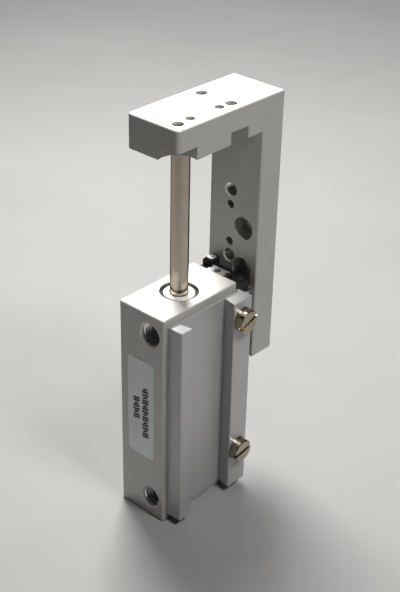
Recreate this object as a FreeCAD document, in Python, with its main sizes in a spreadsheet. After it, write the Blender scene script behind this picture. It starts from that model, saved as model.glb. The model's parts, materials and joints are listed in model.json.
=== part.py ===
import FreeCAD, Part
import math
import os
import Sketcher

# Slide-table pneumatic cylinder, 8 mm bore, 30 mm stroke, shown with the table extended.
# Frame: millimetres, origin where the rod axis meets the foot of the body, +Z along the rod
# towards the end plate, +X towards the sensor rail, +Y towards the linear guide.

SIZES = [
    # cylinder body
    ("body_width", 13.0), ("body_depth", 23.0), ("body_height", 53.5), ("body_edge", 0.5),
    ("deburr", 0.2), ("fine_deburr", 0.12),
    ("bore_radius", 4.0), ("seat_radius", 4.3), ("rod_seat_depth", 8.0), ("head_seat_depth", 6.3),
    ("ring_groove_radius", 4.7), ("ring_groove_width", 0.68), ("ring_groove_inset", 0.57),
    ("port_radius", 2.5), ("port_depth", 5.0), ("port_offset", 2.5), ("port_inset", 5.0),
    ("port_chamfer", 0.43), ("passage_radius", 0.7), ("passage_reach", 3.2),
    ("mount_radius", 1.5), ("mount_depth", 4.5), ("mount_chamfer", 0.2),
    # sensor rail and its two screws
    ("sensor_foot", 1.8), ("sensor_length", 49.9), ("sensor_floor", 0.7), ("sensor_height", 4.0),
    ("lip_front_low", -10.2), ("lip_front_high", -6.9), ("lip_back_low", 6.2), ("lip_back_high", 12.0),
    ("lip_undercut", 0.6), ("side_line", 9.0), ("side_low", 12.0), ("side_pitch", 35.0),
    ("washer_radius", 2.85), ("washer_thick", 0.35), ("side_clearance", 1.6),
    ("side_head_radius", 2.7), ("side_head_height", 1.7), ("side_shank_radius", 1.49),
    ("side_shank_length", 8.0), ("side_hole_depth", 4.3),
    ("side_slot_width", 0.8), ("side_slot_depth", 0.8), ("side_turn_low", 9.0), ("side_turn_high", 21.0),
    # name label
    ("label_width", 7.8), ("label_height", 25.2), ("label_thick", 0.1), ("label_corner", 1.0),
    ("label_shift", -0.2), ("label_middle", 28.5),
    # covers, seals and snap rings
    ("cover_radius", 4.28), ("cover_groove", 3.5), ("cover_bore", 2.03), ("nose_radius", 3.45),
    ("nose_height", 1.05), ("nose_chamfer", 0.15), ("nose_bore", 2.22), ("nose_bore_depth", 0.4),
    ("annulus_width", 1.8), ("o_groove_width", 1.2),
    ("o_groove_inset", 0.7), ("o_ring_radius", 3.89), ("o_ring_section", 0.38), ("slot_half_width", 0.8),
    ("seal_groove_radius", 2.9), ("seal_groove_inset", 1.1), ("seal_groove_width", 1.6),
    ("rod_seal_bore", 2.02), ("rod_seal_radius", 2.88), ("rod_seal_lip", 2.35),
    ("snap_inner", 3.6), ("snap_outer", 4.66), ("snap_thick", 0.6), ("snap_gap", 40.0),
    ("jack_radius", 1.25), ("jack_depth", 2.0),
    # rod and piston
    ("rod_radius", 2.0), ("spigot_radius", 1.49), ("stud_length", 5.0), ("rivet_radius", 2.2),
    ("rivet_height", 0.5), ("piston_radius", 3.95), ("piston_bore", 1.5), ("piston_play", 0.1),
    ("bumper_thick", 1.0), ("bumper_radius", 3.5), ("upper_bumper_bore", 2.05), ("lower_bumper_bore", 2.4),
    ("piston_disc", 1.6), ("magnet_height", 2.2), ("magnet_radius", 3.8), ("hub_radius", 2.3),
    ("piston_foot", 3.2), ("ring_groove_floor", 2.9), ("piston_seal_width", 1.6), ("piston_seal_inset", 0.8),
    ("piston_seal_radius", 3.98), ("piston_seal_heel", 0.38),
    # slide table
    ("table_width", 14.0), ("table_front", -8.2), ("table_back", 23.8), ("table_inner", 17.2),
    ("table_top", 94.5), ("table_thick", 7.5), ("table_bottom", 31.5), ("table_corner", 1.0),
    ("relief_low", 7.4), ("relief_high", 12.7), ("relief_depth", 2.65),
    ("pocket_x", 5.25), ("pocket_y", -6.5), ("pocket_radius", 4.1), ("pocket_depth", 2.85),
    ("thread_radius", 1.5), ("thread_chamfer", 0.2), ("dowel_radius", 1.0), ("dowel_depth", 4.0),
    ("top_x", 4.0), ("top_front_y", -5.2), ("top_back_y", 10.3), ("top_depth", 5.0),
    ("top_radius", 1.25), ("top_chamfer", 0.1),
    ("dowel_x", 3.8), ("dowel_front_y", -1.5), ("dowel_back_y", 7.0),
    ("face_x", -1.0), ("face_low", 55.3), ("face_pitch", 16.0), ("face_dowel_low", 58.8),
    ("face_dowel_pitch", 9.0), ("recess_x", 2.8), ("recess_low", 53.2), ("recess_pitch", 10.0),
    ("recess_radius", 2.65), ("recess_depth", 3.3), ("recess_bore", 1.7), ("recess_slot", 3.2),
    ("stud_hole_radius", 1.5), ("stud_hole_depth", 5.3), ("set_radius", 1.0), ("set_height", 89.7),
    ("set_length", 5.4), ("set_socket", 0.5), ("set_socket_depth", 1.0),
    # linear guide: rail, block, end caps and ball circuits
    ("rail_width", 5.0), ("rail_height", 2.7), ("rail_sink", 0.3), ("rail_play", 0.05),
    ("rail_hole_low", 4.25), ("rail_pitch", 15.0), ("rail_bore", 1.2), ("rail_sink_radius", 1.75),
    ("rail_sink_depth", 1.0), ("rail_end_radius", 0.8), ("rail_end_depth", 2.0), ("rail_end_height", 1.2),
    ("rail_tap_depth", 3.2), ("rail_tap_radius", 1.0),
    ("rail_head_radius", 1.65), ("rail_head_height", 0.8), ("rail_shank_radius", 0.99),
    ("rail_shank_length", 4.5), ("rail_socket", 0.75), ("rail_socket_depth", 0.5),
    ("ball_radius", 0.6), ("race_radius", 0.62), ("race_x", 2.65), ("race_height", 1.65),
    ("return_x", 4.6), ("return_radius", 0.64),
    ("block_width", 12.0), ("block_lift", 0.55), ("block_foot", 36.2), ("block_length", 13.0),
    ("channel_half", 2.7), ("channel_clear", 0.2), ("block_edge", 0.3),
    ("cap_width", 11.6), ("cap_inset", 0.2), ("cap_back_inset", 0.8), ("cap_length", 3.1),
    ("cap_channel_half", 2.75), ("cap_channel_clear", 0.25), ("cap_edge", 0.4),
    ("boss_width", 2.8), ("boss_height", 2.1), ("boss_depth", 2.5), ("boss_slope", 0.8), ("boss_root", 0.5),
    ("cap_screw_x", 4.3), ("cap_screw_height", 4.0), ("cap_screw_bore", 0.65), ("cap_sink_radius", 1.1),
    ("cap_sink_depth", 0.6), ("cap_head_radius", 1.0), ("cap_head_height", 0.55),
    ("cap_shank_radius", 0.59), ("cap_shank_length", 4.0), ("cap_tap_radius", 0.6), ("cap_tap_depth", 1.7),
    ("cap_slot_width", 0.3), ("cap_slot_depth", 0.25),
    ("block_screw_x", 4.0), ("block_screw_pitch", 7.0), ("block_tap_depth", 1.9), ("block_tap_radius", 1.0),
    ("block_screw_clearance", 1.1), ("block_sink_radius", 2.1), ("block_sink_depth", 2.3),
    ("block_head_radius", 1.9), ("block_head_height", 2.0), ("block_shank_length", 6.0),
    ("block_socket", 0.75), ("block_socket_depth", 1.0),
]

RAIL_SCREW_COUNT = 4
BALLS_PER_CIRCUIT = 24
SOCKET_SIDES = 6
SIDES = (-1, 1)
SAME_PLACE = 1e-4

doc = FreeCAD.newDocument("pneumatic_cylinder")
sheet = doc.addObject("Spreadsheet::Sheet", "Sizes")
for row, (alias, value) in enumerate(SIZES, start=1):
    sheet.set("A%d" % row, alias)
    sheet.set("B%d" % row, str(value))
    sheet.setAlias("B%d" % row, alias)
doc.recompute()


class Size:
    """A number together with the spreadsheet expression it comes from."""

    def __init__(self, value, text):
        self.value = value
        self.text = text

    def joined(self, other, sign, value):
        return Size(value, "(%s %s %s)" % (self.text, sign, as_size(other).text))

    def __add__(self, other):
        return self.joined(other, "+", self.value + as_size(other).value)

    def __sub__(self, other):
        return self.joined(other, "-", self.value - as_size(other).value)

    def __mul__(self, other):
        return self.joined(other, "*", self.value * as_size(other).value)

    def __truediv__(self, other):
        return self.joined(other, "/", self.value / as_size(other).value)

    def __neg__(self):
        return Size(-self.value, "(0 - %s)" % self.text)


def as_size(number):
    return number if isinstance(number, Size) else Size(float(number), repr(float(number)))


def size(alias):
    return Size(float(sheet.get(alias)), "Sizes.%s" % alias)


def bind(feature, prop, number):
    feature.setExpression(prop, as_size(number).text)


def move(feature, position, rotation=None):
    """Place a feature: its angle first, then each coordinate bound to the sheet."""
    turned = rotation or FreeCAD.Rotation()
    point = FreeCAD.Vector(*[as_size(number).value for number in position])
    feature.Placement = FreeCAD.Placement(point, turned)
    for letter, number in zip("xyz", position):
        bind(feature, "Placement.Base.%s" % letter, number)
    return feature


AIMS = {
    "+X": FreeCAD.Rotation(FreeCAD.Vector(0, 1, 0), 90),
    "-X": FreeCAD.Rotation(FreeCAD.Vector(0, 1, 0), -90),
    "+Y": FreeCAD.Rotation(FreeCAD.Vector(1, 0, 0), -90),
    "-Y": FreeCAD.Rotation(FreeCAD.Vector(1, 0, 0), 90),
    "+Z": FreeCAD.Rotation(),
    "-Z": FreeCAD.Rotation(FreeCAD.Vector(1, 0, 0), 180),
}


def box(name, low, high):
    feature = doc.addObject("Part::Box", name)
    for prop, start, end in zip(("Length", "Width", "Height"), low, high):
        bind(feature, prop, as_size(end) - start)
    return move(feature, low)


def drill(name, start, aim, length, radius):
    """A round tool that starts at a point and runs the given length towards aim."""
    feature = doc.addObject("Part::Cylinder", name)
    bind(feature, "Radius", radius)
    bind(feature, "Height", length)
    return move(feature, start, AIMS[aim])


def mouth(name, start, aim, radius, depth):
    """The 45 degree chamfer at a hole's mouth, cut from the face inwards."""
    feature = doc.addObject("Part::Cone", name)
    bind(feature, "Radius1", as_size(radius) + depth)
    bind(feature, "Radius2", radius)
    bind(feature, "Height", depth)
    return move(feature, start, AIMS[aim])


def tapped(name, start, aim, length, radius, chamfer):
    """The tools of a tapped hole: the hole itself and the chamfer at its mouth."""
    return [drill(name, start, aim, length, radius), mouth(name + "_mouth", start, aim, radius, chamfer)]


def cut(name, base, tools):
    tool = tools[0]
    if len(tools) > 1:
        tool = doc.addObject("Part::MultiFuse", name + "_tools")
        tool.Shapes = tools
    feature = doc.addObject("Part::Cut", name)
    feature.Base = base
    feature.Tool = tool
    return feature


def join(name, pieces):
    feature = doc.addObject("Part::MultiFuse", name)
    feature.Shapes = pieces
    return feature


def group(name, pieces):
    feature = doc.addObject("Part::Compound", name)
    feature.Links = pieces
    return feature


def origin_plane(body, role):
    return [item for item in body.Origin.OriginFeatures if item.Role == role][0]


def outline(body, role, points):
    """A closed sketch on an origin plane, every corner bound to the sheet."""
    sketch = body.newObject("Sketcher::SketchObject", body.Name + "_outline")
    sketch.AttachmentSupport = (origin_plane(body, role), [""])
    sketch.MapMode = "FlatFace"
    corners = [FreeCAD.Vector(as_size(u).value, as_size(v).value, 0) for u, v in points]
    for index, corner in enumerate(corners):
        sketch.addGeometry(Part.LineSegment(corner, corners[(index + 1) % len(corners)]), False)
    for index, (u, v) in enumerate(points):
        following = (index + 1) % len(points)
        sketch.addConstraint(Sketcher.Constraint("Coincident", index, 2, following, 1))
        for kind, number in (("DistanceX", u), ("DistanceY", v)):
            number = as_size(number)
            held = Sketcher.Constraint(kind, -1, 1, index, 1, number.value)
            place = sketch.addConstraint(held)
            sketch.setExpression("Constraints[%d]" % place, number.text)
    return sketch


def turned(name, points):
    """A turned piece: the outline of (radius, height) corners revolved about +Z."""
    body = doc.addObject("PartDesign::Body", name)
    sketch = outline(body, "XZ_Plane", points)
    revolution = body.newObject("PartDesign::Revolution", name + "_turned")
    revolution.Profile = sketch
    revolution.ReferenceAxis = (sketch, ["V_Axis"])
    revolution.Angle = 360.0
    body.Tip = revolution
    return body


def prism(name, points, start, length, role="XY_Plane"):
    """An extruded piece: the outline's corners on an origin plane, padded along its normal from start."""
    body = doc.addObject("PartDesign::Body", name)
    sketch = outline(body, role, points)
    bind(sketch, "AttachmentOffset.Base.z", start)
    pad = body.newObject("PartDesign::Pad", name + "_pad")
    pad.Profile = sketch
    bind(pad, "Length", length)
    body.Tip = pad
    return body


def soften(body, kind, radius, wanted):
    """Round (Fillet) or bevel (Chamfer) those edges of a body's tip that wanted picks."""
    doc.recompute()
    tip = body.Tip
    names = ["Edge%d" % (i + 1) for i, edge in enumerate(tip.Shape.Edges) if wanted(edge)]
    feature = body.newObject("PartDesign::" + kind, body.Name + "_" + kind)
    feature.Base = (tip, names)
    bind(feature, "Radius" if kind == "Fillet" else "Size", radius)
    body.Tip = feature
    return body


def upright(edge):
    span = edge.BoundBox
    return max(span.XLength, span.YLength) < SAME_PLACE < span.ZLength


def flat(edge):
    """Does the edge lie in one horizontal plane?"""
    return edge.BoundBox.ZLength < SAME_PLACE


def at(edge, letter, *places):
    """Does the whole edge lie at one of these places along the axis named by letter?"""
    span = edge.BoundBox
    low, high = getattr(span, letter + "Min"), getattr(span, letter + "Max")
    return any(max(abs(low - place.value), abs(high - place.value)) < SAME_PLACE for place in places)


def rectangle(low, high):
    return [(low[0], low[1]), (high[0], low[1]), (high[0], high[1]), (low[0], high[1])]


def ring(name, inner, outer, low, high):
    return turned(name, [(inner, low), (outer, low), (outer, high), (inner, high)])


def hexagon(name, start, aim, radius, depth):
    """A hexagonal socket tool; radius is half the key width."""
    feature = doc.addObject("Part::Prism", name)
    feature.Polygon = SOCKET_SIDES
    bind(feature, "Circumradius", as_size(radius) / math.cos(math.pi / SOCKET_SIDES))
    bind(feature, "Height", depth)
    return move(feature, start, AIMS[aim])


# ---- heights and levels shared by several pieces --------------------------------------

half_width = size("body_width") / 2
half_depth = size("body_depth") / 2
body_top = size("body_height")
rail_seat = half_depth - size("rail_sink")
rail_top = rail_seat + size("rail_height")
race_y = rail_seat + size("race_height")
rod_cover_foot = body_top - size("rod_seat_depth")
rod_cover_top = body_top - size("ring_groove_inset") - size("ring_groove_width")
head_cover_foot = size("ring_groove_inset") + size("ring_groove_width")
head_cover_top = size("head_seat_depth")
port_levels = {"lower": size("port_inset"), "upper": body_top - size("port_inset")}
side_levels = {"lower": size("side_low"), "upper": size("side_low") + size("side_pitch")}
piston_top = rod_cover_foot - size("piston_play")
disc_top = piston_top - size("bumper_thick")
magnet_top = disc_top - size("piston_disc")
magnet_foot = magnet_top - size("magnet_height")
disc_foot = magnet_foot - size("piston_foot")
plate_foot = size("table_top") - size("table_thick")
half_table = size("table_width") / 2
block_top = size("block_foot") + size("block_length")
block_middle = size("block_foot") + size("block_length") / 2
cap_screw_y = rail_seat + size("cap_screw_height")
half_turn_x = (size("race_x") + size("return_x")) / 2
half_turn_radius = (size("return_x") - size("race_x")) / 2


def rail_levels():
    return [size("rail_hole_low") + size("rail_pitch") * i for i in range(RAIL_SCREW_COUNT)]


def block_screw_levels():
    return [block_middle + size("block_screw_pitch") / 2 * side for side in SIDES]


# ---- pieces that stay with the body -----------------------------------------------------

def make_cylinder_body():
    """Aluminium body: bore, cover seats, snap ring grooves, ports, rail seat and tapped holes."""
    blank = prism("body_blank", rectangle((-half_width, -half_depth), (half_width, half_depth)), 0, body_top)
    soften(blank, "Fillet", size("body_edge"), upright)
    soften(blank, "Chamfer", size("deburr"), flat)
    seat, groove = size("seat_radius"), size("ring_groove_radius")
    tools = [
        drill("body_bore", (0, 0, 0), "+Z", body_top, size("bore_radius")),
        drill("body_rod_seat", (0, 0, rod_cover_foot), "+Z", size("rod_seat_depth"), seat),
        drill("body_head_seat", (0, 0, 0), "+Z", size("head_seat_depth"), seat),
        drill("body_rod_groove", (0, 0, rod_cover_top), "+Z", size("ring_groove_width"), groove),
        drill("body_head_groove", (0, 0, size("ring_groove_inset")), "+Z", size("ring_groove_width"), groove),
        box("body_rail_seat",
            (-(size("rail_width") / 2 + size("rail_play")), rail_seat, -size("rail_sink")),
            (size("rail_width") / 2 + size("rail_play"), half_depth + size("rail_sink"),
             body_top + size("rail_sink"))),
    ]
    for end, level in port_levels.items():
        start = (size("port_offset"), -half_depth, level)
        tools += tapped("body_port_" + end, start, "+Y", size("port_depth"), size("port_radius"),
                        size("port_chamfer"))
        tools.append(drill("body_passage_" + end, start, "+Y", size("port_depth") + size("passage_reach"),
                           size("passage_radius")))
    for end, level in side_levels.items():
        tools.append(drill("body_sensor_tap_" + end, (half_width, size("side_line"), level), "-X",
                           size("side_hole_depth"), size("mount_radius")))
        tools += tapped("body_mount_" + end, (-half_width, size("side_line"), level), "+X",
                        size("mount_depth"), size("mount_radius"), size("mount_chamfer"))
    for number, level in enumerate(rail_levels()):
        tools.append(drill("body_rail_tap_%d" % number, (0, rail_seat, level), "-Y", size("rail_tap_depth"),
                           size("rail_tap_radius")))
    return cut("cylinder_body", blank, tools)


def make_sensor_rail():
    """Extruded rail on the body's side: thin floor and two undercut lips that hold a sensor."""
    floor = half_width + size("sensor_floor")
    outer = half_width + size("sensor_height")
    undercut = size("lip_undercut")
    points = [
        (half_width, size("lip_front_low")), (outer, size("lip_front_low")), (outer, size("lip_front_high")),
        (floor, size("lip_front_high") - undercut), (floor, size("lip_back_low") + undercut),
        (outer, size("lip_back_low")), (outer, size("lip_back_high")), (half_width, size("lip_back_high")),
    ]
    section = prism("sensor_section", points, size("sensor_foot"), size("sensor_length"))
    soften(section, "Chamfer", size("fine_deburr"), lambda edge: flat(edge) or at(edge, "X", outer))
    tools = [
        drill("sensor_hole_" + end, (half_width, size("side_line"), level), "+X", size("sensor_height"),
              size("side_clearance"))
        for end, level in side_levels.items()
    ]
    return cut("sensor_rail", section, tools)


def make_sensor_screws():
    """Two slotted cheese-head screws that hold the sensor rail, each with a plain washer."""
    face = half_width + size("sensor_height")
    turns = {"lower": size("side_turn_low"), "upper": size("side_turn_high")}
    screws, washers = [], []
    for end, level in side_levels.items():
        washer = ring("sensor_washer_" + end, size("side_clearance"), size("washer_radius"), 0,
                      size("washer_thick"))
        washers.append(move(washer, (face, size("side_line"), level), AIMS["+X"]))
        shank, head = size("side_shank_radius"), size("side_head_radius")
        solid = turned("sensor_screw_blank_" + end, [
            (0, -size("side_shank_length")), (shank, -size("side_shank_length")), (shank, 0), (head, 0),
            (head, size("side_head_height") - size("deburr")),
            (head - size("deburr"), size("side_head_height")), (0, size("side_head_height")),
        ])
        slot = box("sensor_screw_slot_" + end,
                   (-size("side_slot_width") / 2, -head, size("side_head_height") - size("side_slot_depth")),
                   (size("side_slot_width") / 2, head, size("side_head_height")))
        screw = cut("sensor_screw_" + end, solid, [slot])
        tilt = FreeCAD.Rotation(FreeCAD.Vector(1, 0, 0), turns[end].value)
        screws.append(move(screw, (face + size("washer_thick"), size("side_line"), level),
                           tilt.multiply(AIMS["+X"])))
    return [group("sensor_rail_screws", screws), group("sensor_rail_washers", washers)]


def make_name_label():
    """Blank rectangular label on the port face."""
    half_wide, half_tall = size("label_width") / 2, size("label_height") / 2
    plate = prism("name_label", rectangle((-half_wide, -half_tall), (half_wide, half_tall)), 0,
                  size("label_thick"))
    soften(plate, "Fillet", size("label_corner"), upright)
    return move(plate, (size("label_shift"), -half_depth, size("label_middle")), AIMS["-Y"])


def make_rod_cover():
    """White plastic rod cover: bearing bore, rod seal groove, O-ring groove and air annulus."""
    foot, top, nose = rod_cover_foot, rod_cover_top, rod_cover_top + size("nose_height")
    air_low = port_levels["upper"] - size("annulus_width") / 2
    air_high = port_levels["upper"] + size("annulus_width") / 2
    o_high = top - size("o_groove_inset") / 2
    o_low = o_high - size("o_groove_width")
    mouth_floor = nose - size("nose_bore_depth")
    seal_high = nose - size("seal_groove_inset")
    seal_low = seal_high - size("seal_groove_width")
    bore, wall, deep = size("cover_bore"), size("cover_radius"), size("cover_groove")
    solid = turned("rod_cover_blank", [
        (bore, foot), (wall, foot), (wall, air_low), (deep, air_low), (deep, air_high), (wall, air_high),
        (wall, o_low), (deep, o_low), (deep, o_high), (wall, o_high), (wall, top),
        (size("nose_radius"), top), (size("nose_radius"), nose - size("nose_chamfer")),
        (size("nose_radius") - size("nose_chamfer"), nose), (size("nose_bore"), nose),
        (size("nose_bore"), mouth_floor), (bore, mouth_floor), (bore, seal_high),
        (size("seal_groove_radius"), seal_high), (size("seal_groove_radius"), seal_low), (bore, seal_low),
    ])
    cover = cut("rod_cover", solid, air_slots("rod_cover", foot, air_low))
    o_ring = make_o_ring("rod_cover_o_ring", (o_low + o_high) / 2)
    seal = turned("rod_seal", [
        (size("rod_seal_bore"), seal_low), (size("rod_seal_radius"), seal_low),
        (size("rod_seal_radius"), seal_high), (size("rod_seal_lip"), seal_high),
        (size("rod_seal_bore"), (seal_low + seal_high) / 2),
    ])
    return [cover, o_ring, seal, make_snap_ring("rod_cover_snap_ring", rod_cover_top)]


def air_slots(name, low, high):
    """Two slots that lead the air from a cover's annulus to the chamber."""
    half, deep, wall = size("slot_half_width"), size("cover_groove"), size("cover_radius")
    return [
        box(name + "_slot_front", (-half, -wall, low), (half, -deep, high)),
        box(name + "_slot_back", (-half, deep, low), (half, wall, high)),
    ]


def make_o_ring(name, level):
    feature = doc.addObject("Part::Torus", name)
    bind(feature, "Radius1", size("o_ring_radius"))
    bind(feature, "Radius2", size("o_ring_section"))
    return move(feature, (0, 0, level))


def make_snap_ring(name, low):
    """Flat C-shaped spring ring; its gap faces the port side."""
    hoop = ring(name + "_hoop", size("snap_inner"), size("snap_outer"), low,
                as_size(low) + size("snap_thick"))
    gap = doc.addObject("Part::Cylinder", name + "_gap")
    bind(gap, "Radius", size("snap_outer") * 2)
    bind(gap, "Height", size("snap_thick") * 2)
    bind(gap, "Angle", size("snap_gap"))
    turn = FreeCAD.Rotation(FreeCAD.Vector(0, 0, 1), -90 - size("snap_gap").value / 2)
    move(gap, (0, 0, as_size(low) - size("snap_thick") / 2), turn)
    return cut(name, hoop, [gap])


def make_head_cover():
    """Blind cover at the body's foot, with its own O-ring, air annulus and snap ring."""
    foot, top = head_cover_foot, head_cover_top
    air_low = port_levels["lower"] - size("annulus_width") / 2
    air_high = port_levels["lower"] + size("annulus_width") / 2
    o_low = foot + size("o_groove_inset")
    o_high = o_low + size("o_groove_width")
    wall, deep = size("cover_radius"), size("cover_groove")
    solid = turned("head_cover_blank", [
        (0, foot), (wall, foot), (wall, o_low), (deep, o_low), (deep, o_high), (wall, o_high),
        (wall, air_low), (deep, air_low), (deep, air_high), (wall, air_high), (wall, top), (0, top),
    ])
    jack = drill("head_cover_jack", (0, 0, foot), "+Z", size("jack_depth"), size("jack_radius"))
    cover = cut("head_cover", solid, air_slots("head_cover", air_high, top) + [jack])
    ring_foot = size("ring_groove_inset") + (size("ring_groove_width") - size("snap_thick"))
    return [cover, make_o_ring("head_cover_o_ring", (o_low + o_high) / 2),
            make_snap_ring("head_cover_snap_ring", ring_foot)]


def make_guide_rail():
    """Ground steel rail: one ball race on each flank and counterbored screw holes."""
    half = size("rail_width") / 2
    blank = prism("rail_blank", rectangle((-half, rail_seat), (half, rail_top)), 0, body_top)
    soften(blank, "Chamfer", size("fine_deburr"), lambda edge: flat(edge) or at(edge, "Y", rail_top))
    tools = [drill("rail_end_hole", (0, rail_seat + size("rail_end_height"), body_top), "-Z",
                   size("rail_end_depth"), size("rail_end_radius"))]
    for side in SIDES:
        tools.append(drill("rail_race_%s" % ("left" if side < 0 else "right"),
                           (size("race_x") * side, race_y, 0), "+Z", body_top, size("race_radius")))
    for number, level in enumerate(rail_levels()):
        tools.append(drill("rail_hole_%d" % number, (0, rail_top, level), "-Y", size("rail_height"),
                           size("rail_bore")))
        tools.append(drill("rail_sink_%d" % number, (0, rail_top, level), "-Y", size("rail_sink_depth"),
                           size("rail_sink_radius")))
    return cut("guide_rail", blank, tools)


def socket_screw(name, shank, length, head, height, socket, socket_depth):
    """A cap screw standing on its head's seat at the origin, head towards +Z."""
    bevel = size("fine_deburr")
    solid = turned(name + "_blank", [(0, -length), (shank, -length), (shank, 0), (head, 0),
                                     (head, as_size(height) - bevel), (as_size(head) - bevel, height),
                                     (0, height)])
    return cut(name, solid, [hexagon(name + "_socket", (0, 0, as_size(height) - socket_depth), "+Z", socket,
                                     socket_depth)])


def make_rail_screws():
    """Low-head screws that hold the rail on the body's back."""
    seat = rail_top - size("rail_sink_depth")
    screws = []
    for number, level in enumerate(rail_levels()):
        screw = socket_screw("rail_screw_%d" % number, size("rail_shank_radius"), size("rail_shank_length"),
                             size("rail_head_radius"), size("rail_head_height"), size("rail_socket"),
                             size("rail_socket_depth"))
        screws.append(move(screw, (0, seat, level), AIMS["+Y"]))
    return group("guide_rail_screws", screws)


# ---- pieces that move with the table ------------------------------------------------------

def make_slide_table():
    """L-shaped aluminium table: end plate over the rod, face plate along the guide."""
    front, back, inner = size("table_front"), size("table_back"), size("table_inner")
    top, bottom = size("table_top"), size("table_bottom")
    relief_low, relief_high = size("relief_low"), size("relief_high")
    relief_top = plate_foot + size("relief_depth")
    blank = prism("table_blank", [
        (front, plate_foot), (relief_low, plate_foot), (relief_low, relief_top), (relief_high, relief_top),
        (relief_high, plate_foot), (inner, plate_foot), (inner, bottom), (back, bottom), (back, top),
        (front, top),
    ], -half_table, size("table_width"), "YZ_Plane")
    soften(blank, "Fillet", size("table_corner"), lambda edge: upright(edge) and at(edge, "Y", front))
    soften(blank, "Chamfer", size("deburr"),
           lambda edge: at(edge, "Z", top, bottom) or at(edge, "X", half_table, -half_table))
    tools = [
        drill("table_pocket", (size("pocket_x"), size("pocket_y"), plate_foot), "+Z", size("pocket_depth"),
              size("pocket_radius")),
        drill("table_stud_hole", (0, 0, plate_foot), "+Z", size("stud_hole_depth"), size("stud_hole_radius")),
        drill("table_set_hole", (-half_table, 0, size("set_height")), "+X", half_table, size("set_radius")),
    ]
    return cut("slide_table", blank, tools + table_top_holes() + table_face_holes() + table_block_holes())


def table_top_holes():
    """Three tapped holes and two dowel holes in the end plate's top."""
    top, tools = size("table_top"), []
    places = {
        "front": (size("top_x"), size("top_front_y")),
        "right": (size("top_x"), size("top_back_y")),
        "left": (-size("top_x"), size("top_back_y")),
    }
    for place, (x, y) in places.items():
        tools += tapped("table_top_" + place, (x, y, top), "-Z", size("top_depth"), size("top_radius"),
                        size("top_chamfer"))
    for place, y in (("front", size("dowel_front_y")), ("back", size("dowel_back_y"))):
        tools.append(drill("table_top_dowel_" + place, (size("dowel_x"), y, top), "-Z", size("dowel_depth"),
                           size("dowel_radius")))
    return tools


def table_face_holes():
    """Tapped, dowel and counterbored holes through the face plate; the lower recess is open downwards."""
    inner = size("table_inner")
    thick = size("table_back") - inner
    tools = []
    for number in range(2):
        tapped_z = size("face_low") + size("face_pitch") * number
        dowel_z = size("face_dowel_low") + size("face_dowel_pitch") * number
        recess_z = size("recess_low") + size("recess_pitch") * number
        start = (size("face_x"), inner, tapped_z)
        tools += tapped("table_face_%d" % number, start, "+Y", thick, size("thread_radius"),
                        size("thread_chamfer"))
        tools.append(mouth("table_face_back_%d" % number, (size("face_x"), size("table_back"), tapped_z),
                           "-Y", size("thread_radius"), size("thread_chamfer")))
        tools.append(drill("table_face_dowel_%d" % number, (size("face_x"), inner, dowel_z), "+Y", thick,
                           size("dowel_radius")))
        start = (size("recess_x"), inner, recess_z)
        tools.append(drill("table_recess_%d" % number, start, "+Y", size("recess_depth"),
                           size("recess_radius")))
        tools.append(drill("table_recess_bore_%d" % number, start, "+Y", thick, size("recess_bore")))
    low = size("recess_low")
    tools.append(box("table_recess_slot",
                     (size("recess_x") - size("recess_radius"), inner, low - size("recess_slot")),
                     (size("recess_x") + size("recess_radius"), inner + size("recess_depth"), low)))
    return tools


def table_block_holes():
    """Counterbored holes for the screws that hold the guide block."""
    back, tools = size("table_back"), []
    for side in SIDES:
        for number, level in enumerate(block_screw_levels()):
            name = "table_block_%s_%d" % ("left" if side < 0 else "right", number)
            start = (size("block_screw_x") * side, back, level)
            tools.append(drill(name, start, "-Y", back - size("table_inner"), size("block_screw_clearance")))
            tools.append(drill(name + "_sink", start, "-Y", size("block_sink_depth"),
                               size("block_sink_radius")))
    return tools


def make_piston_rod():
    """Rod with a riveted spigot through the piston and a stud in the end plate."""
    rod, spigot, rivet = size("rod_radius"), size("spigot_radius"), size("rivet_radius")
    return turned("piston_rod", [
        (0, disc_foot - size("rivet_height")), (rivet, disc_foot - size("rivet_height")), (rivet, disc_foot),
        (spigot, disc_foot), (spigot, disc_top), (rod, disc_top), (rod, plate_foot), (spigot, plate_foot),
        (spigot, plate_foot + size("stud_length")), (0, plate_foot + size("stud_length")),
    ])


def make_piston():
    """Two-part piston that clamps a magnet ring, with its seal and two bumpers."""
    bore, wall, hub = size("piston_bore"), size("piston_radius"), size("hub_radius")
    seal_low = disc_foot + size("piston_seal_inset")
    seal_high = seal_low + size("piston_seal_width")
    floor, heel = size("ring_groove_floor"), size("piston_seal_heel")
    lip = size("piston_seal_radius")
    upper = turned("piston_upper", [(bore, magnet_foot), (hub, magnet_foot), (hub, magnet_top),
                                    (wall, magnet_top), (wall, disc_top), (bore, disc_top)])
    lower = turned("piston_lower", [(bore, disc_foot), (wall, disc_foot), (wall, seal_low), (floor, seal_low),
                                    (floor, seal_high), (wall, seal_high), (wall, magnet_foot),
                                    (bore, magnet_foot)])
    seal = turned("piston_seal", [(floor, seal_low), (lip - heel, seal_low), (lip, seal_low + heel),
                                  (lip, seal_high - heel), (lip - heel, seal_high), (floor, seal_high)])
    magnet = ring("piston_magnet", hub, size("magnet_radius"), magnet_foot, magnet_top)
    upper_bumper = ring("piston_bumper_upper", size("upper_bumper_bore"), size("bumper_radius"), disc_top,
                        piston_top)
    lower_bumper = ring("piston_bumper_lower", size("lower_bumper_bore"), size("bumper_radius"),
                        disc_foot - size("bumper_thick"), disc_foot)
    return [upper, lower, seal, magnet, upper_bumper, lower_bumper]


def make_rod_set_screw():
    """Headless screw in the end plate's far side that locks the rod's stud."""
    low, length = -half_table, size("set_length")
    start = (low, 0, size("set_height"))
    blank = drill("set_screw_blank", start, "+X", length, size("spigot_radius") - size("set_socket"))
    return cut("rod_set_screw", blank, [hexagon("set_screw_socket", start, "+X", size("set_socket"),
                                                size("set_socket_depth"))])


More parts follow.
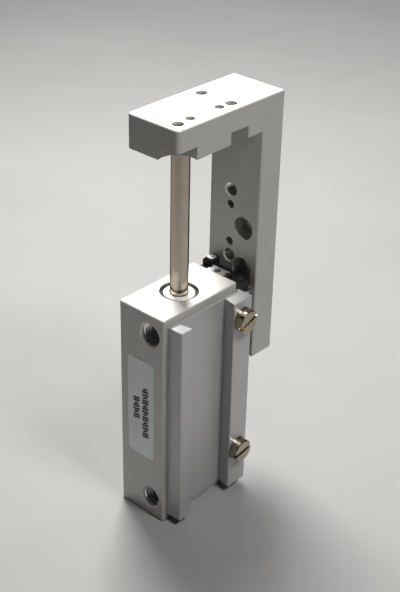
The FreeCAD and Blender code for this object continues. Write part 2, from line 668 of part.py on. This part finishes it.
def make_guide_block():
    """Steel block that straddles the rail: inner races, ball return bores and tapped holes."""
    half = size("block_width") / 2
    low, high = rail_seat + size("block_lift"), size("table_inner")
    foot, length = size("block_foot"), size("block_length")
    channel = size("channel_half")
    ceiling = rail_top + size("channel_clear")
    edge = size("block_edge")
    points = [(-half + edge, low), (-channel, low), (-channel, ceiling), (channel, ceiling), (channel, low),
              (half - edge, low), (half, low + edge), (half, high - edge), (half - edge, high),
              (-half + edge, high), (-half, high - edge), (-half, low + edge)]
    blank = prism("block_blank", points, foot, length)
    tools = []
    for side in SIDES:
        hand = "left" if side < 0 else "right"
        tools.append(drill("block_race_" + hand, (size("race_x") * side, race_y, foot), "+Z", length,
                           size("race_radius")))
        tools.append(drill("block_return_" + hand, (size("return_x") * side, race_y, foot), "+Z", length,
                           size("return_radius")))
        for number, level in enumerate(block_screw_levels()):
            start = (size("block_screw_x") * side, high, level)
            tools.append(drill("block_tap_%s_%d" % (hand, number), start, "-Y", size("block_tap_depth"),
                               size("block_tap_radius")))
        for aim, level in (("+Z", foot), ("-Z", block_top)):
            end = "lower" if aim == "+Z" else "upper"
            tools.append(drill("block_cap_tap_%s_%s" % (hand, end),
                               (size("cap_screw_x") * side, cap_screw_y, level), aim, size("cap_tap_depth"),
                               size("cap_tap_radius")))
    return cut("guide_block", blank, tools)


def make_cap_boss(back, foot):
    """Raised boss round the upper cap's far screw, with a slope on its outer edge."""
    left = -size("cap_width") / 2
    right = left + size("boss_width")
    top = foot + size("boss_height")
    slope = size("boss_slope")
    corners = [(left, foot - size("boss_root")), (right, foot - size("boss_root")), (right, top),
               (left + slope, top), (left, top - slope)]
    return prism("block_cap_boss", corners, -back, size("boss_depth"), "XZ_Plane")


def make_end_cap(end):
    """Black plastic end cap: passes over the rail and turns both ball circuits around."""
    half, edge = size("cap_width") / 2, size("cap_edge")
    low = rail_seat + size("block_lift") + size("cap_inset")
    high = size("table_inner") - size("cap_back_inset")
    channel, ceiling = size("cap_channel_half"), rail_top + size("cap_channel_clear")
    upper = end == "upper"
    face = block_top if upper else size("block_foot")
    foot = face if upper else face - size("cap_length")
    outer = face + size("cap_length") if upper else foot
    aim = "-Z" if upper else "+Z"
    points = [(-half + edge, low), (-channel, low), (-channel, ceiling), (channel, ceiling), (channel, low),
              (half - edge, low), (half, low + edge), (half, high - edge), (half - edge, high),
              (-half + edge, high), (-half, high - edge), (-half, low + edge)]
    blank = prism("block_cap_blank_" + end, points, foot, size("cap_length"))
    if upper:
        blank = join("block_cap_joined", [blank, make_cap_boss(high, outer)])
    tools = []
    for side in SIDES:
        name = "block_cap_%s_%s" % (end, "left" if side < 0 else "right")
        bend = doc.addObject("Part::Torus", name + "_bend")
        bind(bend, "Radius1", half_turn_radius)
        bind(bend, "Radius2", size("return_radius"))
        tools.append(move(bend, (half_turn_x * side, race_y, face), AIMS["-Y"]))
        lift = size("boss_height") if upper and side < 0 else 0
        start = (size("cap_screw_x") * side, cap_screw_y, outer + lift)
        tools.append(drill(name + "_hole", start, aim, size("cap_length") + lift, size("cap_screw_bore")))
        tools.append(drill(name + "_sink", start, aim, size("cap_sink_depth"), size("cap_sink_radius")))
    return cut("block_cap_" + end, blank, tools)


def make_cap_screws():
    """Four tiny slotted screws that hold the end caps on the block."""
    screws = []
    head, height, slot = size("cap_head_radius"), size("cap_head_height"), size("cap_slot_width") / 2
    shank, length = size("cap_shank_radius"), size("cap_shank_length")
    levels = {
        "+Z": block_top + size("cap_length") - size("cap_sink_depth"),
        "-Z": size("block_foot") - size("cap_length") + size("cap_sink_depth"),
    }
    for aim, level in levels.items():
        for side in SIDES:
            name = "cap_screw_%s_%s" % ("upper" if aim == "+Z" else "lower", "left" if side < 0 else "right")
            solid = turned(name + "_blank", [(0, -length), (shank, -length), (shank, 0), (head, 0),
                                             (head, height), (0, height)])
            groove = box(name + "_slot", (-head, -slot, height - size("cap_slot_depth")),
                         (head, slot, height))
            lift = size("boss_height") if aim == "+Z" and side < 0 else 0
            screw = cut(name, solid, [groove])
            screws.append(move(screw, (size("cap_screw_x") * side, cap_screw_y, level + lift), AIMS[aim]))
    return group("block_cap_screws", screws)


def make_block_screws():
    """Four cap screws through the face plate into the guide block."""
    seat = size("table_back") - size("block_sink_depth")
    screws = []
    for side in SIDES:
        for number, level in enumerate(block_screw_levels()):
            name = "block_screw_%s_%d" % ("left" if side < 0 else "right", number)
            screw = socket_screw(name, size("rail_shank_radius"), size("block_shank_length"),
                                 size("block_head_radius"), size("block_head_height"), size("block_socket"),
                                 size("block_socket_depth"))
            screws.append(move(screw, (size("block_screw_x") * side, seat, level), AIMS["+Y"]))
    return group("block_screws", screws)


def circuit_point(travel, length, bend, centre_x, y, middle):
    """The ball centre after travelling along an oval circuit: two straights and two half turns."""
    arc = math.pi * bend
    if travel < length:
        return FreeCAD.Vector(centre_x - bend, y, middle - length / 2 + travel)
    travel -= length
    if travel < arc:
        angle = travel / bend
        return FreeCAD.Vector(centre_x - bend * math.cos(angle), y,
                              middle + length / 2 + bend * math.sin(angle))
    travel -= arc
    if travel < length:
        return FreeCAD.Vector(centre_x + bend, y, middle + length / 2 - travel)
    angle = (travel - length) / bend
    return FreeCAD.Vector(centre_x + bend * math.cos(angle), y, middle - length / 2 - bend * math.sin(angle))


def make_guide_balls(hand):
    """One recirculating circuit of balls; separate solids, read from the sheet's sizes."""
    side = -1 if hand == "left" else 1
    bend, length = half_turn_radius.value, size("block_length").value
    pitch = (2 * length + 2 * math.pi * bend) / BALLS_PER_CIRCUIT
    balls = []
    for number in range(BALLS_PER_CIRCUIT):
        centre = circuit_point((number + 0.5) * pitch, length, bend, half_turn_x.value, race_y.value,
                               block_middle.value)
        centre.x *= side
        balls.append(Part.makeSphere(size("ball_radius").value, centre))
    feature = doc.addObject("Part::Feature", "guide_balls_" + hand)
    feature.Shape = Part.makeCompound(balls)
    return feature


# ---- build, check and write ----------------------------------------------------------------

nodes = [make_cylinder_body(), make_sensor_rail(), *make_sensor_screws(), make_name_label()]
nodes += [*make_rod_cover(), *make_head_cover(), make_guide_rail(), make_rail_screws()]
nodes += [make_slide_table(), make_piston_rod(), *make_piston(), make_rod_set_screw(), make_guide_block()]
nodes += [make_end_cap("upper"), make_end_cap("lower"), make_cap_screws(), make_block_screws()]
nodes += [make_guide_balls("left"), make_guide_balls("right")]
for node in nodes:
    node.Label = node.Name
doc.recompute()

broken = [item.Name for item in doc.Objects if "Invalid" in item.State or "Error" in item.State]
broken += [node.Name for node in nodes if node.Shape.isNull() or not node.Shape.isValid()]
broken += [node.Name for node in nodes if not node.Shape.Solids]
if broken:
    raise RuntimeError("these pieces failed: %s" % ", ".join(broken))

os.makedirs("parts", exist_ok=True)
for node in nodes:
    node.Shape.exportStep("parts/%s.step" % node.Name)
    print(node.Name, len(node.Shape.Solids), round(node.Shape.Volume, 3))
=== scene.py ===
import json
import math

import bpy
from mathutils import Matrix, Vector


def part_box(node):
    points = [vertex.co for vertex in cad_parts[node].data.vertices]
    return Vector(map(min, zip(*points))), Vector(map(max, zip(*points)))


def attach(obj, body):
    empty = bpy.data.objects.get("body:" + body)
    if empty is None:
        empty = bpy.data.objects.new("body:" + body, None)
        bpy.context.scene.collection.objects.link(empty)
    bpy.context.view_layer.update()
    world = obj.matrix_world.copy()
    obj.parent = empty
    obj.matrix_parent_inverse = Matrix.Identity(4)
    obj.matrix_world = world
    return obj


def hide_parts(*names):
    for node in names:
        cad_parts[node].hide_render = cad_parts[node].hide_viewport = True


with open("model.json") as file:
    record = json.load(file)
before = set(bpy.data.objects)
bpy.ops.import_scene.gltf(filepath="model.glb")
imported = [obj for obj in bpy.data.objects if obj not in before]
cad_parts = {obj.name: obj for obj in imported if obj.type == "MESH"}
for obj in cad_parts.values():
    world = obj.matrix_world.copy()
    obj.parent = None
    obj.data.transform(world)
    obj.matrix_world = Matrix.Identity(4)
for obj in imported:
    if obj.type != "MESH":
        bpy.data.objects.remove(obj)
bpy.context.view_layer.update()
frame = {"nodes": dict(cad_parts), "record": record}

MM = 0.001

# ---- camera, in millimetres and degrees; the clip in metres ------------------------------
CAMERA_PLACE = Vector((149.18, -159.79, 181.91)) * MM
CAMERA_AZIMUTH = 41.85
CAMERA_ELEVATION = 30.66
CAMERA_ROLL = 1.31
CAMERA_LENS = 71.97
SENSOR = 36.0
CAMERA_CLIP = 0.01

# ---- threads: wall radius, crest radius, pitch and chamfer, in millimetres ---------------
M5 = {"wall": 2.5, "crest": 2.08, "pitch": 0.8, "chamfer": 0.43}
M3 = {"wall": 1.5, "crest": 1.24, "pitch": 0.5, "chamfer": 0.2}
M25 = {"wall": 1.25, "crest": 1.02, "pitch": 0.45, "chamfer": 0.1}
THREAD_STEPS = 40
THREAD_SINK = 0.06
THREAD_ROOT = (0.06, 0.94)
THREAD_TIP = (0.44, 0.56)
LEAD_IN_STEPS = 14
PORT_RUN = {"start": 0.22, "length": 4.7}
SIDE_RUN = {"start": 0.1, "length": 4.2}
TOP_PAIR_RUN = {"start": 0.06, "length": 4.6}
TOP_FRONT_RUN = {"start": 0.06, "length": 4.4}
FACE_RUN = {"start": 0.1, "length": 6.3}

# ---- bright cones at the tapped holes' mouths --------------------------------------------
SLEEVE_STEPS = 48
SLEEVE_SINK = 0.02
SLEEVE_SKIN = 0.02
SLEEVE_INSET = 0.005

# ---- label: film, and plain bars in two rows ---------------------------------------------
LABEL_FILM = 0.08
LABEL_CORNER = 1.0
CORNER_STEPS = 8
INK_ROWS = ({"across": 1.4, "low": -7.45, "marks": 9}, {"across": -1.3, "low": -3.3, "marks": 4})
MARK_PITCH = 1.49
STROKES_PER_MARK = 2
SHORT_EVERY = 3
STROKE_WIDTH = 0.56
STROKE_SHIFT = 0.68
STROKE_LONG = 1.85
STROKE_SHORT = 1.25
STROKE_SLANT = 0.3

# ---- floor and lights: metres, watts ------------------------------------------------------
FLOOR_REACH = 3.0
FLOOR_DROP = 0.00005
PART_MIDDLE = (0, 0.01, 0.07)
FAR_FLOOR = (-0.30, 0.32, 0)
LIGHTS = (
    {"name": "key_softbox", "place": (-0.14, 0.10, 0.32), "target": PART_MIDDLE,
     "width": 0.12, "height": 0.12, "watts": 2.0, "colour": (1.0, 0.975, 0.91)},
    {"name": "right_softbox", "place": (0.20, 0.0, 0.33), "target": PART_MIDDLE,
     "width": 0.08, "height": 0.10, "watts": 0.85, "colour": (1.0, 0.98, 0.96)},
    {"name": "floor_softbox", "place": (-0.30, 0.32, 0.45), "target": FAR_FLOOR,
     "width": 0.30, "height": 0.30, "watts": 1.7, "colour": (1.0, 0.99, 0.97)},
)
WORLD_COLOUR = (0.9, 0.93, 1.0, 1.0)
WORLD_STRENGTH = 0.022


def socket(node, name, value):
    """Set a shader input's constant."""
    node.inputs[name].default_value = value


def tint(red, green, blue):
    """An opaque linear colour."""
    return (red, green, blue, 1.0)


def shade(colour, factor):
    """The same colour, darker or lighter by a factor."""
    return tuple(channel * factor for channel in colour[:3]) + (1.0,)


class Finish:
    """A procedural material: one Principled shader and the textures that vary it."""

    def __init__(self, name, colour, metallic, roughness):
        self.material = bpy.data.materials.new(name)
        self.material.use_nodes = True
        self.tree = self.material.node_tree
        self.shader = self.tree.nodes["Principled BSDF"]
        self.material.diffuse_color = colour
        socket(self.shader, "Base Color", colour)
        socket(self.shader, "Metallic", metallic)
        socket(self.shader, "Roughness", roughness)
        self.place = self.tree.nodes.new("ShaderNodeTexCoord")
        self.normal = None

    def link(self, source, output, target, target_input):
        """Join one node's output to another's input."""
        self.tree.links.new(source.outputs[output], target.inputs[target_input])

    def noise(self, size, stretch=(1, 1, 1), detail=3.0, offset=0.0):
        """Noise with features of about size millimetres, longer along an axis whose stretch is small."""
        mapping = self.tree.nodes.new("ShaderNodeMapping")
        socket(mapping, "Scale", [1 / (size * MM) * share for share in stretch])
        socket(mapping, "Location", (offset, offset, offset))
        self.link(self.place, "Object", mapping, "Vector")
        noise = self.tree.nodes.new("ShaderNodeTexNoise")
        socket(noise, "Scale", 1.0)
        socket(noise, "Detail", detail)
        self.link(mapping, "Vector", noise, "Vector")
        return noise

    def spread(self, texture, low, high, start=0.35, end=0.65):
        """Maps a noise's middle band to low..high."""
        ranged = self.tree.nodes.new("ShaderNodeMapRange")
        for name, value in (("From Min", start), ("From Max", end), ("To Min", low), ("To Max", high)):
            socket(ranged, name, value)
        self.link(texture, "Fac", ranged, "Value")
        return ranged

    def vary_colour(self, texture, dark, light, start=0.3, end=0.7):
        """Blend the base colour between two tones."""
        ramp = self.tree.nodes.new("ShaderNodeValToRGB")
        ramp.color_ramp.elements[0].position = start
        ramp.color_ramp.elements[0].color = dark
        ramp.color_ramp.elements[1].position = end
        ramp.color_ramp.elements[1].color = light
        self.link(texture, "Fac", ramp, "Fac")
        self.link(ramp, "Color", self.shader, "Base Color")

    def vary_roughness(self, texture, low, high):
        """Let the roughness follow a texture."""
        self.link(self.spread(texture, low, high), "Result", self.shader, "Roughness")

    def bump(self, texture, depth, strength=1.0):
        """Adds relief, depth in millimetres, on top of any relief that is already there."""
        bump = self.tree.nodes.new("ShaderNodeBump")
        socket(bump, "Distance", depth * MM)
        socket(bump, "Strength", strength)
        self.link(texture, "Fac", bump, "Height")
        if self.normal is not None:
            self.link(self.normal, "Normal", bump, "Normal")
        self.link(bump, "Normal", self.shader, "Normal")
        self.normal = bump


def blasted_aluminium(name, colour):
    """Sand-blasted, clear anodised aluminium: fine matt grain and faint cloudiness."""
    finish = Finish(name, colour, metallic=0.30, roughness=0.46)
    cloud = finish.noise(9.0, detail=4.0)
    grain = finish.noise(0.16, detail=2.0, offset=3.0)
    finish.vary_colour(cloud, shade(colour, 0.95), shade(colour, 1.03))
    finish.vary_roughness(grain, low=0.40, high=0.54)
    finish.bump(grain, depth=0.010, strength=0.5)
    finish.bump(finish.noise(0.5, detail=2.0, offset=7.0), depth=0.008, strength=0.35)
    return finish.material


def extruded_aluminium(name, colour):
    """Anodised extrusion: long fine die lines that run along +Z."""
    finish = Finish(name, colour, metallic=0.35, roughness=0.42)
    lines = finish.noise(0.22, stretch=(1, 1, 0.012), detail=4.0)
    finish.vary_colour(lines, shade(colour, 0.93), shade(colour, 1.04))
    finish.vary_roughness(lines, low=0.36, high=0.50)
    finish.bump(lines, depth=0.012, strength=0.6)
    finish.bump(finish.noise(0.2, detail=2.0, offset=5.0), depth=0.006, strength=0.3)
    return finish.material


def turned_metal(name, colour, roughness, line=0.06, relief=0.003, edge=0.4):
    """Turned or ground metal: hairlines around the +Z axis."""
    finish = Finish(name, colour, metallic=1.0, roughness=roughness)
    socket(finish.shader, "Specular Tint", shade(colour, edge))
    rings = finish.noise(line, stretch=(0.02, 0.02, 1), detail=3.0)
    smear = finish.noise(4.0, detail=3.0, offset=2.0)
    finish.vary_colour(smear, shade(colour, 0.94), shade(colour, 1.03))
    finish.vary_roughness(rings, roughness * 0.8, roughness * 1.3)
    finish.bump(rings, depth=relief, strength=0.5)
    return finish.material


def ground_steel(name, colour):
    """Ground guide steel: hairlines along the rail."""
    finish = Finish(name, colour, metallic=1.0, roughness=0.28)
    lines = finish.noise(0.08, stretch=(1, 1, 0.01), detail=3.0)
    finish.vary_colour(lines, shade(colour, 0.92), shade(colour, 1.04))
    finish.vary_roughness(lines, low=0.22, high=0.34)
    finish.bump(lines, depth=0.004, strength=0.5)
    return finish.material


def plated_metal(name, colour, roughness):
    """Nickel plate or plain screw steel: soft mottling and a few fine scratches."""
    finish = Finish(name, colour, metallic=1.0, roughness=roughness)
    mottle = finish.noise(1.2, detail=5.0)
    scratch = finish.noise(0.12, stretch=(1, 0.05, 0.3), detail=2.0, offset=4.0)
    finish.vary_colour(mottle, shade(colour, 0.82), shade(colour, 1.05))
    finish.vary_roughness(mottle, roughness * 0.7, roughness * 1.5)
    finish.bump(scratch, depth=0.006, strength=0.5)
    finish.bump(finish.noise(0.6, detail=2.0, offset=1.0), depth=0.012, strength=0.4)
    return finish.material


def moulded(name, colour, roughness, grain=0.2, relief=0.008, sheen=0.5):
    """Moulded plastic or rubber: fine skin texture and slight tone variation."""
    finish = Finish(name, colour, metallic=0.0, roughness=roughness)
    socket(finish.shader, "Specular IOR Level", sheen)
    skin = finish.noise(grain, detail=3.0)
    tone = finish.noise(5.0, detail=2.0, offset=6.0)
    finish.vary_colour(tone, shade(colour, 0.88), shade(colour, 1.08))
    finish.vary_roughness(skin, roughness * 0.85, roughness * 1.2)
    finish.bump(skin, depth=relief, strength=0.5)
    return finish.material


def foil_label(name, colour):
    """Silver label stock: satin, with the faint ripple of a stuck-on film."""
    finish = Finish(name, colour, metallic=0.0, roughness=0.38)
    ripple = finish.noise(6.0, stretch=(1, 1, 0.6), detail=2.0)
    fibre = finish.noise(0.15, detail=2.0, offset=8.0)
    finish.vary_colour(ripple, shade(colour, 0.95), shade(colour, 1.04))
    finish.vary_roughness(fibre, low=0.32, high=0.45)
    finish.bump(ripple, depth=0.05, strength=0.5)
    finish.bump(fibre, depth=0.003, strength=0.4)
    return finish.material


def pale_floor(name):
    """Plain pale matt floor, very slightly cloudy."""
    finish = Finish(name, tint(0.29, 0.29, 0.295), metallic=0.0, roughness=0.9)
    cloud = finish.noise(60.0, detail=3.0)
    finish.vary_colour(cloud, tint(0.28, 0.28, 0.285), tint(0.30, 0.30, 0.305))
    finish.bump(finish.noise(1.5, detail=2.0), depth=0.03, strength=0.3)
    return finish.material


ALUMINIUM = tint(0.46, 0.46, 0.44)
MATERIALS = {
    "anodised_body": blasted_aluminium("body_aluminium", ALUMINIUM),
    "anodised_table": blasted_aluminium("table_aluminium", ALUMINIUM),
    "anodised_rail": extruded_aluminium("rail_aluminium", tint(0.46, 0.465, 0.47)),
    "cover_aluminium": turned_metal("turned_aluminium", tint(0.74, 0.74, 0.72), roughness=0.26),
    "rod_steel": turned_metal("polished_rod", tint(0.55, 0.48, 0.415), roughness=0.12, line=0.05,
                              relief=0.002, edge=0.05),
    "ground_steel": ground_steel("guide_steel", tint(0.60, 0.60, 0.60)),
    "ball_steel": plated_metal("bearing_steel", tint(0.72, 0.72, 0.73), roughness=0.10),
    "screw_steel": plated_metal("screw_steel_plain", tint(0.42, 0.42, 0.42), roughness=0.30),
    "nickel_screws": plated_metal("nickel_plate", tint(0.42, 0.37, 0.295), roughness=0.17),
    "white_plastic": moulded("white_moulding", tint(0.86, 0.86, 0.83), roughness=0.40),
    "black_plastic": moulded("black_moulding", tint(0.008, 0.009, 0.011), roughness=0.42, sheen=0.25),
    "black_rubber": moulded("nitrile_rubber", tint(0.016, 0.016, 0.016), roughness=0.55, grain=0.15,
                            relief=0.012),
    "black_steel": moulded("phosphated_steel", tint(0.008, 0.008, 0.008), roughness=0.50, sheen=0.2),
    "magnet_black": moulded("bonded_magnet", tint(0.05, 0.05, 0.055), roughness=0.60),
    "bumper_urethane": moulded("urethane", tint(0.62, 0.48, 0.22), roughness=0.45),
    "label": foil_label("label_foil", tint(0.82, 0.86, 0.88)),
}
INK = moulded("label_ink", tint(0.012, 0.012, 0.012), roughness=0.5)
MOUTH = blasted_aluminium("bare_hole_mouth", tint(0.80, 0.80, 0.77))


def dress_nodes():
    """Give every carried-over CAD node the procedural material of its slot."""
    slots = {part["node"]: part["material_slot"] for part in frame["record"]["subparts"]}
    for node, piece in frame["nodes"].items():
        piece.data.materials.clear()
        piece.data.materials.append(MATERIALS[slots[node]])


def add_piece(name, vertices, faces, body, slot, material):
    """A new mesh piece that rides on a body and takes a material; the slot argument is not used."""
    mesh = bpy.data.meshes.new(name)
    mesh.from_pydata(vertices, [], faces)
    mesh.validate()
    mesh.update()
    piece = bpy.data.objects.new(name, mesh)
    bpy.context.scene.collection.objects.link(piece)
    mesh.materials.append(material)
    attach(piece, body)
    return piece


def aimed(place, aim):
    """The frame of a hole: its mouth at place (millimetres), local +Z going into the part along aim."""
    turn = Vector((0, 0, 1)).rotation_difference(Vector(aim))
    return Matrix.Translation(Vector(place) * MM) @ turn.to_matrix().to_4x4()


def polar(radius, angle, depth):
    """A point round a hole's axis, in millimetres."""
    return Vector((radius * math.cos(angle), radius * math.sin(angle), depth))


def ridge(place, aim, size, run):
    """A closed helical thread ridge on a hole's wall; run gives its start below the mouth and its length."""
    matrix = aimed(place, aim)
    wall, crest, pitch = size["wall"] + THREAD_SINK, size["crest"], size["pitch"]
    turns = (run["length"] - pitch) / pitch
    count = int(turns * THREAD_STEPS)
    vertices, faces = [], []
    for step in range(count + 1):
        angle = 2 * math.pi * step / THREAD_STEPS
        rise = run["start"] + pitch * step / THREAD_STEPS
        full = min(1.0, (step + 1) / LEAD_IN_STEPS)
        inner = wall + (crest - wall) * full
        profile = ((wall, THREAD_ROOT[0]), (inner, THREAD_TIP[0]),
                   (inner, THREAD_TIP[1]), (wall, THREAD_ROOT[1]))
        for radius, share in profile:
            vertices.append(matrix @ (polar(radius, angle, rise + share * pitch) * MM))
    corners = len(profile)
    for step in range(count):
        base = step * corners
        for corner in range(corners):
            after = (corner + 1) % corners
            faces.append((base + corner, base + after, base + corners + after, base + corners + corner))
    faces.append(tuple(reversed(range(corners))))
    faces.append(tuple(range(count * corners, count * corners + corners)))
    return vertices, faces


def cone_sleeve(place, aim, size):
    """The bright machined cone at a tapped hole's mouth, as a thin closed sleeve on the chamfer."""
    matrix = aimed(place, aim)
    wall, depth = size["wall"], size["chamfer"]
    rims = ((wall + depth + SLEEVE_SINK, 0.0), (wall + SLEEVE_SINK, depth),
            (wall - SLEEVE_SKIN, depth), (wall + depth - SLEEVE_SKIN, 0.0))
    vertices, faces = [], []
    for step in range(SLEEVE_STEPS):
        angle = 2 * math.pi * step / SLEEVE_STEPS
        for radius, sunk in rims:
            vertices.append(matrix @ (polar(radius, angle, sunk + SLEEVE_INSET) * MM))
        base, following = step * len(rims), (step + 1) % SLEEVE_STEPS * len(rims)
        for rim in range(len(rims)):
            after = (rim + 1) % len(rims)
            faces.append((base + rim, base + after, following + after, following + rim))
    return vertices, faces


def merged(shapes):
    """Several closed shapes as one list of vertices and one of faces."""
    vertices, faces = [], []
    for more, more_faces in shapes:
        faces += [tuple(index + len(vertices) for index in face) for face in more_faces]
        vertices += more
    return vertices, faces


def threads(name, body, holes, far_mouths=()):
    """The ridges and mouth cones of several tapped holes, in bare machined metal."""
    slot = "cover_aluminium"
    ridges = merged(ridge(*hole) for hole in holes)
    add_piece(name + "_ridges", *ridges, body, slot, MATERIALS[slot])
    near_mouths = [cone_sleeve(*hole[:3]) for hole in holes]
    cones = merged(near_mouths + [cone_sleeve(*far) for far in far_mouths])
    add_piece(name + "_mouths", *cones, body, slot, MOUTH)


def mount(name):
    """A mount's place in millimetres, its axis and its sizes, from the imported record."""
    found = next(item for item in frame["record"]["mounts"] if item["name"] == name)
    return Vector(found["pos_m"]) / MM, Vector(found["axis"]), found["dims"]


def body_threads():
    """The two ports and the two side mounting holes of the body."""
    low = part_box("cylinder_body")[0] / MM
    ports = []
    for name in ("port_upper", "port_lower"):
        place, axis = mount(name)[:2]
        ports.append(((place.x, low.y, place.z), -axis, M5, PORT_RUN))
    threads("port_threads", "cylinder", ports)
    side = []
    for name in ("side_mounting_upper", "side_mounting_lower"):
        place, axis = mount(name)[:2]
        side.append(((low.x, place.y, place.z), -axis, M3, SIDE_RUN))
    threads("side_hole_threads", "cylinder", side)


def table_threads():
    """The tapped holes of the end plate and, with a mouth at each end, of the face plate."""
    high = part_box("slide_table")[1] / MM
    place, axis, dims = mount("table_top_tapped_pair")
    half = dims["spacing_x_mm"] / 2
    holes = [((place.x + sign * half, place.y, high.z), -axis, M25, TOP_PAIR_RUN) for sign in (-1, 1)]
    place, axis = mount("table_top_tapped_front")[:2]
    holes.append(((place.x, place.y, high.z), -axis, M25, TOP_FRONT_RUN))
    dowel, _, dowel_dims = mount("table_face_dowel_lower")
    inner_face = dowel.y - dowel_dims["length_mm"] / 2
    place, axis, dims = mount("table_face_tapped")
    far_mouths = []
    for sign in (-1, 1):
        level = place.z + sign * dims["spacing_y_mm"] / 2
        holes.append(((place.x, high.y, level), -axis, M3, FACE_RUN))
        far_mouths.append(((place.x, inner_face, level), axis, M3))
    threads("table_threads", "table", holes, far_mouths)


def rounded_outline(low, high, radius):
    """Corners of a rounded rectangle, counter-clockwise, as (across, up) pairs."""
    centres = [(high[0] - radius, low[1] + radius, -90), (high[0] - radius, high[1] - radius, 0),
               (low[0] + radius, high[1] - radius, 90), (low[0] + radius, low[1] + radius, 180)]
    outline = []
    for x, y, first in centres:
        for step in range(CORNER_STEPS + 1):
            angle = math.radians(first + 90 * step / CORNER_STEPS)
            outline.append((x + radius * math.cos(angle), y + radius * math.sin(angle)))
    return outline


def slab(outline, front, back):
    """A closed plate in the X-Z plane between two Y places, all in millimetres."""
    count = len(outline)
    vertices = [Vector((x, y, z)) * MM for y in (front, back) for x, z in outline]
    faces = [tuple(range(count)), tuple(reversed(range(count, 2 * count)))]
    for index in range(count):
        after = (index + 1) % count
        faces.append((index, count + index, count + after, after))
    return vertices, faces


def make_label():
    """The label film with two rows of plain ink bars."""
    low, high = [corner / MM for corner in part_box("name_label")]
    film_front = high.y - LABEL_FILM
    outline = rounded_outline((low.x, low.z), (high.x, high.z), LABEL_CORNER)
    film = add_piece("label_film", *slab(outline, film_front, high.y), "cylinder", "label",
                     MATERIALS["label"])
    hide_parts("name_label")
    middle = (low + high) / 2
    bars = []
    for row in INK_ROWS:
        across = middle.x + row["across"]
        for stroke in range(STROKES_PER_MARK * row["marks"]):
            mark, place_in_mark = divmod(stroke, STROKES_PER_MARK)
            level = middle.z + row["low"] + MARK_PITCH * mark + STROKE_SHIFT * place_in_mark
            short = stroke % SHORT_EVERY == SHORT_EVERY - 1
            half = (STROKE_SHORT if short else STROKE_LONG) / 2
            raised = level + STROKE_SLANT
            bar = [(across - half, level), (across + half, raised),
                   (across + half, raised + STROKE_WIDTH), (across - half, level + STROKE_WIDTH)]
            bars.append(slab(bar, low.y, film_front))
    add_piece("label_ink_blocks", *merged(bars), "cylinder", "label", INK)


def make_floor():
    """A plain square floor just under the part's foot."""
    reach = FLOOR_REACH
    corners = [(-reach, -reach, 0), (reach, -reach, 0), (reach, reach, 0), (-reach, reach, 0)]
    mesh = bpy.data.meshes.new("floor")
    mesh.from_pydata(corners, [], [(0, 1, 2, 3)])
    floor = bpy.data.objects.new("floor", mesh)
    floor.location.z = -FLOOR_DROP
    bpy.context.scene.collection.objects.link(floor)
    mesh.materials.append(pale_floor("floor_finish"))


def make_camera():
    """The camera, turned by azimuth and elevation and then rolled about its own axis."""
    azimuth, elevation = math.radians(CAMERA_AZIMUTH), math.radians(CAMERA_ELEVATION)
    back = Vector((math.sin(azimuth) * math.cos(elevation), -math.cos(azimuth) * math.cos(elevation),
                   math.sin(elevation)))
    right = Vector((math.cos(azimuth), math.sin(azimuth), 0))
    up = back.cross(right)
    roll = math.radians(CAMERA_ROLL)
    rolled_right = math.cos(roll) * right + math.sin(roll) * up
    rolled_up = math.cos(roll) * up - math.sin(roll) * right
    data = bpy.data.cameras.new("camera")
    data.lens = CAMERA_LENS
    data.sensor_width = SENSOR
    data.clip_start = CAMERA_CLIP
    camera = bpy.data.objects.new("camera", data)
    turn = Matrix((rolled_right, rolled_up, back)).transposed()
    camera.matrix_world = Matrix.Translation(CAMERA_PLACE) @ turn.to_4x4()
    bpy.context.scene.collection.objects.link(camera)
    bpy.context.scene.camera = camera


def area_light(name, place, target, width, height, watts, colour):
    """A rectangular softbox that faces its target."""
    data = bpy.data.lights.new(name, "AREA")
    data.shape = "RECTANGLE"
    data.size = width
    data.size_y = height
    data.energy = watts
    data.color = colour
    light = bpy.data.objects.new(name, data)
    light.location = place
    light.rotation_euler = (Vector(target) - Vector(place)).to_track_quat("-Z", "Y").to_euler()
    bpy.context.scene.collection.objects.link(light)


def make_lights():
    """Three softboxes and a faint cool surround, shown with the standard view."""
    for light in LIGHTS:
        area_light(**light)
    world = bpy.data.worlds.new("studio")
    bpy.context.scene.world = world
    world.use_nodes = True
    background = world.node_tree.nodes["Background"]
    socket(background, "Color", WORLD_COLOUR)
    socket(background, "Strength", WORLD_STRENGTH)
    bpy.context.scene.view_settings.view_transform = "Standard"


dress_nodes()
body_threads()
table_threads()
make_label()
make_floor()
make_camera()
make_lights()

bpy.context.view_layer.update()
